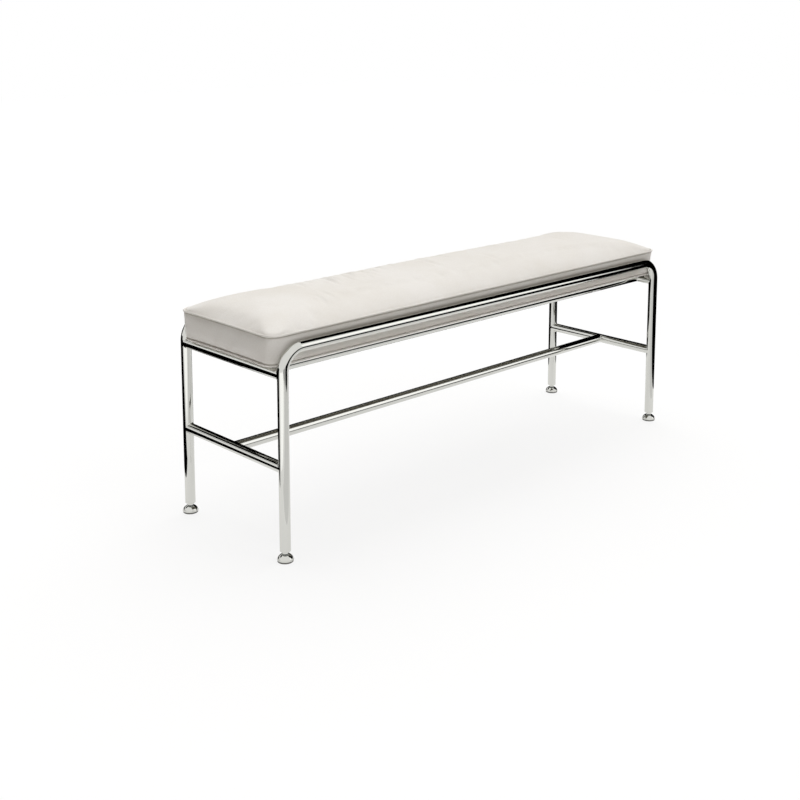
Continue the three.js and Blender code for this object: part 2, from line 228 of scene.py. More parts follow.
@dataclass(frozen=True)
class ZincPlate:
    """Zinc plated steel, passivated: a cool grey with a cloudy, slightly crystalline sheen."""

    name: str = "zinc plated steel"
    dark: str = "#8f9499"
    light: str = "#b9bdc1"
    spangle_mm: float = 1.8
    roughness: tuple[float, float] = (0.26, 0.42)

    def material(self) -> bpy.types.Material:
        """Makes the material: small random cells shift its grey and its roughness."""
        material, tree, place = start_material(self.name)
        inputs = {"Vector": place, "Scale": per_metre(self.spangle_mm)}
        cells = add_node(tree, "ShaderNodeTexVoronoi", inputs=inputs).outputs["Color"]
        tone = add_ramp(tree, cells, [(0.0, linear(self.dark)), (1.0, linear(self.light))])
        sheen = add_ramp(tree, cells, [(0.0, grey(self.roughness[0])), (1.0, grey(self.roughness[1]))])
        end_material(tree, {"Base Color": tone, "Metallic": 1.0, "Roughness": sheen})
        return material


@dataclass(frozen=True)
class MouldedNylon:
    """Injection moulded nylon: dull grey with a fine spark-eroded texture."""

    name: str = "moulded grey nylon"
    dark: str = "#7b7b79"
    light: str = "#8d8d8a"
    grit_mm: float = 0.5
    grit_depth_mm: float = 0.03

    def material(self) -> bpy.types.Material:
        """Makes the material: one fine noise for the tone and the texture."""
        material, tree, place = start_material(self.name)
        grit = add_noise(tree, place, self.grit_mm, 3.0)
        shader = {
            "Base Color": add_ramp(tree, grit, [(0.3, linear(self.dark)), (0.7, linear(self.light))]),
            "Roughness": 0.5,
            "IOR": 1.53,
            "Normal": add_bump(tree, grit, self.grit_depth_mm),
        }
        end_material(tree, shader)
        return material


@dataclass(frozen=True)
class IvoryLeather:
    """Dyed and finished cowhide: ivory, semi-matt, with a fine pebbled grain and hair-fine stretch lines."""

    name: str = "ivory finished leather"
    pale: str = "#e6e4e1"
    deep: str = "#e0ddd8"
    crevice: str = "#bdb5a6"
    # colour of the painted shade that the cover's attribute marks: a shadow line beside the welts, and shade
    # behind and below the rails
    seam: str = "#8d8474"
    cloud_mm: float = 120
    grain_mm: float = 1.5
    grain_depth_mm: float = 0.09
    pore_mm: float = 0.55
    line_mm: float = 9.0
    line_depth_mm: float = 0.1
    roughness: tuple[float, float] = (0.42, 0.56)

    def material(self) -> bpy.types.Material:
        """Makes the material: clouded dye, pebble cells, pores and stretched crease lines, with painted shade
        mixed towards the seam colour where the cover's attribute marks it.
        """
        material, tree, place = start_material(self.name)
        cloud = add_noise(tree, place, self.cloud_mm, 5.0, Roughness=0.55)
        warp = add_node(
            tree,
            "ShaderNodeTexNoise",
            inputs={"Vector": place, "Scale": per_metre(4 * self.grain_mm), "Detail": 2.0},
        )
        wander = add_node(
            tree,
            "ShaderNodeVectorMath",
            {"operation": "MULTIPLY_ADD"},
            {0: warp.outputs["Color"], 1: (self.grain_mm * MM,) * 3, 2: place},
        )
        pebble = add_node(
            tree,
            "ShaderNodeTexVoronoi",
            {"feature": "DISTANCE_TO_EDGE"},
            {"Vector": wander.outputs["Vector"], "Scale": per_metre(self.grain_mm)},
        )
        cells = add_ramp(tree, pebble.outputs["Distance"], [(0.0, grey(0.0)), (0.22, grey(1.0))])
        pores = add_noise(tree, place, self.pore_mm, 2.0)
        slant = add_node(
            tree,
            "ShaderNodeMapping",
            inputs={"Vector": place, "Rotation": (0.0, 0.0, math.radians(-16)), "Scale": (1.0, 0.16, 1.0)},
        )
        lines = add_node(
            tree,
            "ShaderNodeTexNoise",
            {"noise_type": "RIDGED_MULTIFRACTAL"},
            {"Vector": slant.outputs["Vector"], "Scale": per_metre(self.line_mm * 4), "Detail": 3.0},
        )
        grain_bump = add_bump(tree, cells, self.grain_depth_mm, 0.6)
        pore_bump = add_bump(tree, pores, self.grain_depth_mm, 0.35, Normal=grain_bump)
        line_bump = add_node(
            tree,
            "ShaderNodeBump",
            {"invert": True},
            {
                "Strength": 0.5,
                "Distance": self.line_depth_mm * MM,
                "Height": lines.outputs["Fac"],
                "Normal": pore_bump,
            },
        )
        dye = add_ramp(tree, cloud, [(0.3, linear(self.deep)), (0.62, linear(self.pale))])
        soft = add_mix(tree, 0.25, dye, add_mix(tree, cells, linear(self.crevice), dye))
        # painted shade: the point attribute mixes the dye towards the seam colour beside the welts and behind
        # and below the rails
        painted_shade_mark = add_node(tree, "ShaderNodeAttribute", {"attribute_name": PAINTED_SHADE})
        stops = [(0.3, grey(self.roughness[0])), (0.7, grey(self.roughness[1]))]
        shader = {
            "Base Color": add_mix(tree, painted_shade_mark.outputs["Fac"], soft, linear(self.seam)),
            "Roughness": add_ramp(tree, pores, stops),
            "IOR": 1.47,
            "Specular IOR Level": 0.42,
            "Normal": line_bump.outputs["Normal"],
        }
        end_material(tree, shader)
        return material


@dataclass(frozen=True)
class DustCloth:
    """Non-woven polypropylene dust cloth: olive grey felted fibres with a pressed dot pattern."""

    name: str = "non-woven dust cloth"
    dark: str = "#55534a"
    light: str = "#6d6a5f"
    fibre_mm: float = 1.2
    dot_mm: float = 2.4
    depth_mm: float = 0.12

    def material(self) -> bpy.types.Material:
        """Makes the material: stretched fibre noise under a grid of pressed dots."""
        material, tree, place = start_material(self.name)
        fibre = add_noise(tree, place, self.fibre_mm, 6.0, Roughness=0.7)
        inputs = {"Vector": place, "Scale": per_metre(self.dot_mm), "Randomness": 0.15}
        dots = add_node(tree, "ShaderNodeTexVoronoi", inputs=inputs).outputs["Distance"]
        pressed = add_ramp(tree, dots, [(0.18, grey(0.0)), (0.4, grey(1.0))])
        tone = add_ramp(tree, fibre, [(0.3, linear(self.dark)), (0.7, linear(self.light))])
        fibre_bump = add_bump(tree, fibre, self.depth_mm, 0.8)
        bump = add_bump(tree, pressed, self.depth_mm, 0.7, Normal=fibre_bump)
        end_material(tree, {"Base Color": tone, "Roughness": 0.9, "Normal": bump})
        return material


@dataclass(frozen=True)
class BirchPlywood:
    """Birch plywood, unfinished: pale veneer with fine straight grain along the board."""

    name: str = "birch plywood"
    dark: str = "#b8935f"
    light: str = "#d3b384"
    grain_mm: float = 5

    def material(self) -> bpy.types.Material:
        """Makes the material: noise drawn out along X."""
        material, tree, place = start_material(self.name)
        along = add_node(tree, "ShaderNodeMapping", inputs={"Vector": place, "Scale": (0.06, 1.0, 1.0)})
        grain = add_noise(tree, along.outputs["Vector"], self.grain_mm, 5.0)
        tone = add_ramp(tree, grain, [(0.3, linear(self.dark)), (0.7, linear(self.light))])
        end_material(tree, {"Base Color": tone, "Roughness": 0.7})
        return material


# Meshes


def grid_quads(rows: int, columns: int, close_rows: bool, close_columns: bool) -> Array:
    """Quads of a grid whose points are numbered row by row.

    Args:
        rows: number of rows.
        columns: number of points in a row.
        close_rows: whether the last row joins the first.
        close_columns: whether the last column joins the first.

    Returns:
        An array of four point numbers per quad.
    """
    row = np.arange(rows if close_rows else rows - 1)[:, None]
    column = np.arange(columns if close_columns else columns - 1)[None, :]
    next_row = (row + 1) % rows
    next_column = (column + 1) % columns
    corners = [
        row * columns + column,
        row * columns + next_column,
        next_row * columns + next_column,
        next_row * columns + column,
    ]
    return np.stack(np.broadcast_arrays(*corners), axis=-1).reshape(-1, 4)


def link(name: str, data: bpy.types.ID) -> bpy.types.Object:
    """Adds an object with this data to the scene."""
    piece = bpy.data.objects.new(name, data)
    bpy.context.scene.collection.objects.link(piece)
    return piece


def read_points(mesh: bpy.types.Mesh) -> Array:
    """A mesh's points, one in each row."""
    points = np.empty((len(mesh.vertices), 3), np.float32)
    mesh.vertices.foreach_get("co", points.reshape(-1))
    return points


def write_points(mesh: bpy.types.Mesh, points: Array) -> None:
    """Moves a mesh's points."""
    mesh.vertices.foreach_set("co", points.reshape(-1))
    mesh.update()


def face_outwards(mesh: bpy.types.Mesh, merge: bool) -> None:
    """Turns a mesh's faces outwards, after merging its double points if asked."""
    shell = bmesh.new()
    shell.from_mesh(mesh)
    if merge:
        bmesh.ops.remove_doubles(shell, verts=shell.verts, dist=MERGE)
        bmesh.ops.dissolve_degenerate(shell, edges=shell.edges, dist=MERGE)
    bmesh.ops.recalc_face_normals(shell, faces=shell.faces)
    shell.to_mesh(mesh)
    shell.free()


def apply_modifier(piece: bpy.types.Object, modifier: bpy.types.Modifier) -> None:
    """Gives a piece the mesh that its modifier makes, and removes the modifier."""
    evaluated = piece.evaluated_get(bpy.context.evaluated_depsgraph_get())
    mesh = bpy.data.meshes.new_from_object(evaluated)
    piece.modifiers.remove(modifier)
    piece.data = mesh


@dataclass
class MeshBuilder:
    """Collects grids of points into one mesh."""

    points: list[Array] = field(default_factory=list)
    faces: list[list[int]] = field(default_factory=list)
    count: int = 0

    def add(
        self, grid: Array, close_rows: bool = False, close_columns: bool = True, caps: bool = False
    ) -> "MeshBuilder":
        """Adds a grid.

        Args:
            grid: points as an array of rows, columns and 3.
            close_rows: whether the last row joins the first.
            close_columns: whether the last column joins the first.
            caps: whether the first and last rows are closed by a fan round their middle.

        Returns:
            This builder.
        """
        rows, columns, _ = grid.shape
        if caps:
            first = np.broadcast_to(grid[:1].mean(axis=1, keepdims=True), (1, columns, 3))
            last = np.broadcast_to(grid[-1:].mean(axis=1, keepdims=True), (1, columns, 3))
            grid = np.concatenate([first, grid, last])
            rows += 2
        self.points.append(grid.reshape(-1, 3))
        self.faces += (grid_quads(rows, columns, close_rows, close_columns) + self.count).tolist()
        self.count += rows * columns
        return self

    def make(self, name: str, material: bpy.types.Material) -> bpy.types.Object:
        """Makes the object: doubles merged, faces outwards, smooth but for its real edges."""
        mesh = bpy.data.meshes.new(name)
        mesh.from_pydata(np.concatenate(self.points).tolist(), [], self.faces)
        face_outwards(mesh, merge=True)
        mesh.shade_smooth()
        mesh.set_sharp_from_angle(angle=SHARP_ANGLE)
        mesh.materials.append(material)
        return link(name, mesh)


def settle(piece: bpy.types.Object, body: str, slot: Slot, *nodes: str) -> bpy.types.Object:
    """Puts a piece on its body in place of its CAD nodes.

    Args:
        piece: the finished piece.
        body: the CAD body it rides on.
        slot: the slot of its finish; not used.
        nodes: the CAD nodes that it stands for.

    Returns:
        The piece.
    """
    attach(piece, body)
    if nodes:
        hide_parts(*nodes)
    LOG.info("%s rides on %s and stands for %s", piece.name, body, ", ".join(nodes) or "no node")
    return piece


def turn(count: int) -> Array:
    """Angles of count even steps round a circle."""
    return np.arange(count) * (2 * np.pi / count)


def lathe(profile: Sequence[tuple[float, float]], centre: tuple[float, float], sides: int) -> Array:
    """Turns a profile round an upright axis.

    Args:
        profile: pairs of radius and height in metres.
        centre: the axis's x and y.
        sides: steps round the axis.

    Returns:
        A grid with one row for each profile point.
    """
    radius, height = np.array(profile).T[:, :, None]
    return rings(radius, height, centre, sides)


def rings(radius: Array, height: Array, centre: tuple[float, float], sides: int) -> Array:
    """Points round an upright axis, from the radius and height of each ring. A radius may vary round it."""
    angle = turn(sides)
    radius = np.broadcast_to(radius, (len(radius), sides))
    x = centre[0] + radius * np.cos(angle)
    y = centre[1] + radius * np.sin(angle)
    return np.stack([x, y, np.broadcast_to(height, x.shape)], axis=-1)


def arc(centre: tuple[float, float], radius: float, start: float, end: float, steps: int) -> Profile:
    """Points of an arc in the plane, from one angle to another in degrees, both ends included."""
    angle = np.radians(np.linspace(start, end, steps + 1))
    return list(zip(centre[0] + radius * np.cos(angle), centre[1] + radius * np.sin(angle)))


def middle(node: str) -> Array:
    """The middle of a CAD node's box."""
    low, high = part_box(node)
    return (np.array(low) + np.array(high)) / 2


# Tube frame


@dataclass
class TubeFrame:
    """The chrome frame: two bent side frames, and straight tubes coped to them and welded."""

    finish: ChromePlate
    wall: float = 1.5 * MM
    bend_radius: float = 45 * MM
    end_round: float = 0.45 * MM
    weld: float = 2.4 * MM
    weld_sink: float = 0.12 * MM
    weld_narrowing: float = 0.985
    access: float = 6.5 * MM
    sides: int = 72
    bend_steps: int = 24
    weld_steps: int = 8

    def __post_init__(self) -> None:
        """Reads the tube's radius and the legs' places from the frame."""
        self.leg_y = abs(middle("front_side_frame")[1])
        low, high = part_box("long_stretcher")
        self.radius = (high.z - low.z) / 2
        low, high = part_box("front_side_frame")
        self.leg_x = high.x - self.radius
        self.leg_end = low.z
        self.rail_z = high.z - self.radius
        self.material = self.finish.material()

    def side_path(self, y: float) -> tuple[Array, Array]:
        """The line of a side frame: up a leg, round a bend, along the rail, round a bend and down.

        Args:
            y: the side frame's plane.

        Returns:
            Points and unit tangents along the line.
        """
        sweep_angle = np.linspace(0, np.pi / 2, self.bend_steps + 1)
        left = np.pi - sweep_angle
        right = np.pi / 2 - sweep_angle
        angle = np.concatenate([[np.pi], left, right, [0.0]])
        side = np.concatenate([-np.ones(len(left) + 1), np.ones(len(right) + 1)])
        x = side * (self.leg_x - self.bend_radius) + self.bend_radius * np.cos(angle)
        z = self.rail_z - self.bend_radius + self.bend_radius * np.sin(angle)
        z[[0, -1]] = self.leg_end
        points = np.stack([x, np.full_like(x, y), z], axis=-1)
        tangents = np.stack([np.sin(angle), np.zeros_like(angle), -np.cos(angle)], axis=-1)
        return points, tangents

    def swept(self, points: Array, tangents: Array, radius: Array) -> Array:
        """Carries a circle along a line that lies in an upright plane along X.

        Args:
            points: the line's points.
            tangents: its unit tangents.
            radius: the circle's radius at each point.

        Returns:
            A grid with one row for each point.
        """
        across = np.array([0.0, 1.0, 0.0])
        up = np.cross(tangents, across)
        angle = turn(self.sides)[None, :, None]
        ring = np.cos(angle) * across + np.sin(angle) * up[:, None, :]
        return points[:, None, :] + radius[:, None, None] * ring

    def build_side_frame(self, name: str) -> None:
        """Builds a side frame as a hollow tube: out along its outer wall and back along its inner wall."""
        points, tangents = self.side_path(middle(name)[1])
        inner = self.radius - self.wall
        lift = tangents[[0, -1]] * np.array([[self.end_round], [-self.end_round]])
        ends = points[[0, -1]]
        line = np.concatenate([ends[:1], points[:1] + lift[:1], points[1:-1], ends[1:] + lift[1:], ends[1:]])
        headings = np.concatenate([tangents[:1], tangents, tangents[-1:]])
        outer_radius = np.full(len(line), self.radius)
        outer_radius[[0, -1]] -= self.end_round
        inner_radius = np.full(len(line), inner)
        inner_radius[[0, -1]] += self.end_round / 2
        outside = self.swept(line, headings, outer_radius)
        inside = self.swept(line[::-1], headings[::-1], inner_radius)
        wall = np.concatenate([outside, inside])
        piece = MeshBuilder().add(wall, close_rows=True).make(name + "_tube", self.material)
        settle(piece, FRAME_BODY, Slot.TUBE, name)

    def coped_end(self, main: Array, along_main: Array, along_branch: Array) -> Array:
        """The end of a tube that is coped to another of its size, with its weld.

        The tubes meet where the branch's distance y from the main axis is sqrt(R^2 - (k R sin a)^2). The weld
        is a quadratic curve from the branch, by that line, to the main tube's wall, at an even distance.

        Args:
            main: the point where the two axes cross.
            along_main: unit direction of the main tube.
            along_branch: unit direction from the crossing into the branch.

        Returns:
            A grid of rows from the main tube's wall to the branch.
        """
        radius, narrow = self.radius, self.weld_narrowing
        upright = np.cross(along_main, along_branch)
        angle = turn(self.sides)
        sine, cosine = np.sin(angle), np.cos(angle)
        reach = np.sqrt(radius**2 - (narrow * radius * sine) ** 2)

        def place(u: Array, y: Array, t: Array) -> Array:
            """Points at u along the main tube, y along the branch and t along the third axis."""
            return main + u[:, None] * along_main + y[:, None] * along_branch + t[:, None] * upright

        on_branch = place(radius * cosine, reach + self.weld, radius * sine)
        crossing = place(radius * cosine, reach, radius * sine)
        turned = np.arcsin(narrow * sine)
        step_u = -radius * sine
        step_v = radius * narrow * cosine / np.sqrt(1 - (narrow * sine) ** 2)
        length = np.hypot(step_u, step_v)
        u = radius * cosine + self.weld * step_v / length
        wrap = turned - self.weld * step_u / length / radius
        sunk = radius - self.weld_sink
        on_main = place(u, sunk * np.cos(wrap), sunk * np.sin(wrap))
        t = np.linspace(1, 0, self.weld_steps + 1)[:, None, None]
        return (1 - t) ** 2 * on_branch + 2 * t * (1 - t) * crossing + t**2 * on_main

    def build_branch(self, name: str, axis: int, main_axis: int) -> bpy.types.Object:
        """Builds a straight tube between two main tubes.

        Args:
            name: its CAD node.
            axis: the axis it runs along.
            main_axis: the axis that the two main tubes run along.

        Returns:
            The tube.
        """
        centre = middle(name)
        half = (self.leg_x, self.leg_y)[axis]
        along = np.eye(3)[axis]
        along_main = np.eye(3)[main_axis]
        start = self.coped_end(centre - half * along, along_main, along)
        finish = self.coped_end(centre + half * along, -along_main, -along)
        mirror = (self.sides // 2 - np.arange(self.sides)) % self.sides
        grid = np.concatenate([start, finish[::-1][:, mirror]])
        piece = MeshBuilder().add(grid, caps=True).make(name + "_tube", self.material)
        return settle(piece, FRAME_BODY, Slot.TUBE, name)

    def pocket(self, rail: bpy.types.Object, screws: Iterable[str]) -> None:
        """Cuts the holes below a seat rail through which its screws are reached.

        Args:
            rail: the finished rail.
            screws: the CAD nodes of its screws.
        """
        drills = MeshBuilder()
        for screw in screws:
            low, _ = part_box(screw)
            x, y, _ = middle(screw)
            bottom = middle("front_seat_rail")[2] - 2 * self.radius
            profile = [(0, bottom), (self.access, bottom), (self.access, low.z), (0, low.z)]
            drills.add(lathe(profile, (x, y), self.sides))
        cutter = drills.make("access_drill", self.material)
        modifier = rail.modifiers.new("Access", "BOOLEAN")
        modifier.operation = "DIFFERENCE"
        modifier.object = cutter
        apply_modifier(rail, modifier)
        rail.data.shade_smooth()
        rail.data.set_sharp_from_angle(angle=SHARP_ANGLE)
        bpy.data.objects.remove(cutter)

    def build(self) -> None:
        """Builds every tube."""
        for name in ("front_side_frame", "rear_side_frame"):
            self.build_side_frame(name)
        for end in ("left", "right"):
            self.build_branch(f"{end}_seat_crossbar", axis=1, main_axis=2)
            self.build_branch(f"{end}_lower_rung", axis=1, main_axis=2)
        for side, screws in (("front", (1, 2, 3)), ("rear", (4, 5, 6))):
            rail = self.build_branch(f"{side}_seat_rail", axis=0, main_axis=1)
            self.pocket(rail, [f"seat_screw_{number}" for number in screws])
        self.build_branch("long_stretcher", axis=0, main_axis=1)


# Screw feet


@dataclass
class ScrewFeet:
    """Four levelling feet: a chrome bell, a nylon pad under it, a screw stem and the insert in the leg."""

    chrome: ChromePlate
    nylon: MouldedNylon
    zinc: ZincPlate
    sides: int = 72
    bell_steps: int = 14
    rim_round: float = 0.7 * MM
    rim_height: float = 2.0 * MM
    rim_step: float = 0.5 * MM
    bell_rise: float = 10.6 * MM
    neck: float = 5.75 * MM
    clearance: float = 0.35 * MM
    socket: float = 8.4 * MM
    socket_depth: float = 4.8 * MM
    pad_disc: float = 2.9 * MM
    pad_boss: float = 8 * MM
    pad_edge: float = 0.6 * MM
    flange: float = 8 * MM
    flange_height: float = 2.7 * MM
    stud: float = 4 * MM
    neck_top: float = 36 * MM
    run_out: float = 2.4 * MM
    end_gap: float = 0.2 * MM
    tip: float = 1.0 * MM
    bore: float = 4.25 * MM
    bore_start: float = 42 * MM
    chamfer: float = 0.5 * MM
    thread_pitch: float = 1.25 * MM
    thread_depth: float = 0.6 * MM
    thread_steps: int = 8
    thread_sides: int = 36

    def __post_init__(self) -> None:
        """Makes the finishes."""
        self.chrome_material = self.chrome.material()
        self.nylon_material = self.nylon.material()
        self.zinc_material = self.zinc.material()

    def bell(self, node: str) -> Profile:
        """Profile of the bell: a rounded rim, an elliptical rise, a fillet to the neck and the hollow inside.

        Args:
            node: the CAD node of the bell.

        Returns:
            Pairs of radius and height.
        """
        low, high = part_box(node)
        outer = (high.x - low.x) / 2
        rim_top = low.z + self.rim_height
        neck = self.neck + self.clearance
        shoulder = outer - self.rim_step
        share = np.linspace(0, 1, self.bell_steps) ** 2
        rise = list(zip(shoulder - (shoulder - neck) * share, rim_top + self.bell_rise * np.sqrt(share)))
        under = arc((outer - self.rim_round, low.z + self.rim_round), self.rim_round, -90, 0, 5)
        over = arc((outer - self.rim_round, rim_top - self.rim_round), self.rim_round, 0, 80, 5)
        ceiling = low.z + self.socket_depth
        hollow = [(neck, ceiling), (self.socket, ceiling), (self.socket, low.z)]
        return [*under, *over, *rise, *hollow, under[0]]

    def pad(self, node: str) -> Profile:
        """Profile of the pad: a disc with rounded edges and a boss.

        Args:
            node: the CAD node of the pad.

        Returns:
            Pairs of radius and height.
        """
        low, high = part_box(node)
        outer = (high.x - low.x) / 2
        disc, boss, edge = self.pad_disc, self.pad_boss, self.pad_edge
        lower = arc((outer - edge, low.z + edge), edge, -90, 0, 5)
        upper = arc((outer - edge, disc - edge), edge, 0, 90, 5)
        return [(0, low.z), *lower, *upper, (boss, disc), (boss, high.z), (0, high.z)]

    def stem(self, node: str, centre: tuple[float, float]) -> Array:
        """The stem: flange, smooth neck and a threaded stud.

        The thread is a ridge whose phase falls by one turn for each pitch of height.

        Args:
            node: the CAD node of the stem.
            centre: the foot's axis.

        Returns:
            A grid of rows up the stem.
        """
        low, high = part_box(node)
        neck, root, sides = self.neck, self.stud - self.thread_depth, self.thread_sides
        top_of_flange = low.z + self.flange_height
        start = self.neck_top + self.run_out
        foot = [(0, low.z), (self.flange, low.z), (self.flange, top_of_flange), (neck, top_of_flange)]
        below = lathe([*foot, (neck, self.neck_top), (root, start - self.end_gap)], centre, sides)
        turns = int((high.z - self.neck_top - self.stud) / self.thread_pitch)
        height = np.linspace(start, high.z - self.tip, turns * self.thread_steps)[:, None]
        phase = (height / self.thread_pitch - turn(sides) / (2 * np.pi)) % 1
        thread = rings(self.stud - self.thread_depth * np.abs(2 * phase - 1), height, centre, sides)
        top = lathe([(self.stud - self.tip, high.z), (0, high.z)], centre, sides)
        return np.concatenate([below, thread, top])

    def insert(self, node: str) -> Profile:
        """Profile of the leg insert: a sleeve with a chamfered mouth for the neck.

        Args:
            node: the CAD node of the insert.

        Returns:
            Pairs of radius and height.
        """
        low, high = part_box(node)
        outer, mouth = (high.x - low.x) / 2, self.neck + self.clearance
        bore, step, edge = self.bore, self.bore_start, self.chamfer
        lower = [(mouth, low.z + edge), (mouth + edge, low.z), (outer - edge, low.z), (outer, low.z + edge)]
        return [*lower, (outer, high.z), (bore, high.z), (bore, step), (mouth, step), (mouth, low.z + edge)]

    def build(self) -> None:
        """Builds the four feet."""
        for corner in ("front_left", "front_right", "rear_left", "rear_right"):
            names = [f"{corner}_{part}" for part in ("foot_dome", "foot_pad", "foot_stem", "leg_insert")]
            bell, pad, stem, insert = names
            centre = tuple(middle(bell)[:2])
            foot, screw = f"{corner}_foot", f"{corner}_stem"
            profiles = (self.bell(bell), self.pad(pad), self.insert(insert))
            shell, glide, sleeve = (lathe(profile, centre, self.sides) for profile in profiles)
            pieces = (
                ("foot_bell", shell, self.chrome_material, foot, Slot.FOOT),
                ("foot_glide", glide, self.nylon_material, foot, Slot.NYLON),
                ("foot_screw", self.stem(stem, centre), self.chrome_material, screw, Slot.FOOT),
                ("leg_sleeve", sleeve, self.zinc_material, FRAME_BODY, Slot.ZINC),
            )
            for node, (name, grid, material, body, slot) in zip(names, pieces):
                settle(MeshBuilder().add(grid).make(f"{corner}_{name}", material), body, slot, node)


# Seat screws


@dataclass
class SeatScrews:
    """Six button-head socket screws that hold the seat to its rails."""

    zinc: ZincPlate
    sides: int = 48
    count: int = 6
    socket: float = 2.0 * MM
    socket_depth: float = 1.9 * MM
    shank: float = 3.0 * MM
    head_height: float = 3.2 * MM
    dome_share: float = 0.75
    socket_rim: float = 1.25
    socket_edge: float = 0.25 * MM
    crown_steps: int = 6

    def screw(self, node: str) -> Array:
        """A screw: hexagon socket, domed head and shank, as rings from the socket's floor to the tip.

        Args:
            node: its CAD node.

        Returns:
            A grid of rows along the screw.
        """
        low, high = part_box(node)
        centre = middle(node)[:2]
        head = (high.y - low.y) / 2
        angle = turn(self.sides)
        sector = (angle + np.pi / 6) % (np.pi / 3) - np.pi / 6
        hexagon = self.socket / np.cos(sector)
        even = np.ones_like(angle)
        dome = np.linspace(np.arcsin(self.socket * self.socket_rim / head), np.pi / 2, self.crown_steps)
        rise = self.dome_share * self.head_height * (1 - np.cos(dome))
        length = high.z - low.z
        rows = [(0 * even, self.socket_depth), (hexagon, self.socket_depth), (hexagon, self.socket_edge)]
        rows += [(even * ring, z) for ring, z in zip(head * np.sin(dome), rise)]
        rows += [(even * head, self.head_height), (even * self.shank, self.head_height)]
        rows += [(even * self.shank, length), (0 * even, length)]
        radius = np.stack([ring for ring, _ in rows])
        height = low.z + np.array([z for _, z in rows])[:, None]
        return rings(radius, height, centre, self.sides)

    def build(self) -> None:
        """Builds the screws, and dresses the tee nuts that take them."""
        material = self.zinc.material()
        for number in range(1, self.count + 1):
            node = f"seat_screw_{number}"
            piece = MeshBuilder().add(self.screw(node)).make(f"button_head_screw_{number}", material)
            settle(piece, FRAME_BODY, Slot.ZINC, node)
            dress(f"tee_nut_{number}", material)


def dress(node: str, material: bpy.types.Material) -> None:
    """Gives a CAD node that stays its material."""
    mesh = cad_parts[node].data
    mesh.materials.clear()
    mesh.materials.append(material)


# Cushion


@dataclass(frozen=True)
class Crease:
    """A soft fold in the leather: a bowed line in plan from start to end, with its width and depth."""

    start_mm: tuple[float, float]
    end_mm: tuple[float, float]
    bow_mm: float
    width_mm: float
    depth_mm: float

    def drop(self, x: Array, y: Array) -> Array:
        """How far the fold lowers the leather, in metres.

        The fold is a Gaussian valley across its line, with a lower ridge on each side. It fades to its ends.

        Args:
            x: places along the bench.
            y: places across it.

        Returns:
            The depth at each place.
        """
        start, end = np.array(self.start_mm) * MM, np.array(self.end_mm) * MM
        along = end - start
        length = np.hypot(*along)
        along = along / length
        share = ((x - start[0]) * along[0] + (y - start[1]) * along[1]) / length
        off = (y - start[1]) * along[0] - (x - start[0]) * along[1]
        off = off - self.bow_mm * MM * 4 * share * (1 - share)
        fade = np.where((share > 0) & (share < 1), np.sin(np.pi * np.clip(share, 0, 1)) ** 1.3, 0.0)
        width = self.width_mm * MM
        valley = np.exp(-((off / width) ** 2))
        ridges = 0.55 * np.exp(-(((off - 2.1 * width) / (1.3 * width)) ** 2))
        ridges = ridges + 0.35 * np.exp(-(((off + 2.3 * width) / (1.5 * width)) ** 2))
        return self.depth_mm * MM * fade * (valley - ridges)


CREASES = (
    Crease((-318, 92), (-338, -28), 7, 4.5, 2.8),
    Crease((-285, 118), (-300, 8), -6, 4.2, 2.2),
    Crease((-236, 126), (-262, 14), 8, 5.0, 2.7),
    Crease((-205, 110), (-216, -36), -5, 4.2, 1.8),
    Crease((-392, 84), (-404, -6), 5, 4.2, 1.8),
    Crease((-150, 120), (-168, 20), 6, 5.0, 1.8),
    Crease((-430, -38), (-437, -104), 4, 4.0, 1.4),
    Crease((-395, -20), (-401, -86), -4, 4.0, 1.3),
    Crease((-30, 96), (-52, -52), 9, 5.5, 2.0),
    Crease((52, 118), (38, 10), -5, 4.6, 1.4),
    Crease((246, 128), (226, 46), 6, 4.4, 2.2),
    Crease((300, 122), (282, 30), -6, 4.6, 1.8),
    Crease((120, 20), (104, -92), 6, 5.0, 1.3),
    Crease((420, 60), (408, -40), 5, 5.0, 1.1),
    Crease((-352, 104), (-366, 30), -4, 3.6, 1.5),
    Crease((-302, 60), (-318, -16), 4, 3.6, 1.7),
    Crease((-262, 70), (-284, -30), -5, 3.8, 1.5),
    Crease((-220, 60), (-240, -20), 4, 3.6, 1.4),
    Crease((-180, 84), (-196, 2), -3, 3.8, 1.4),
    Crease((-112, 108), (-128, 30), 4, 3.8, 1.3),
    Crease((-8, 124), (-20, 46), -4, 3.8, 1.4),
    Crease((206, 118), (190, 40), 4, 3.8, 1.3),
)


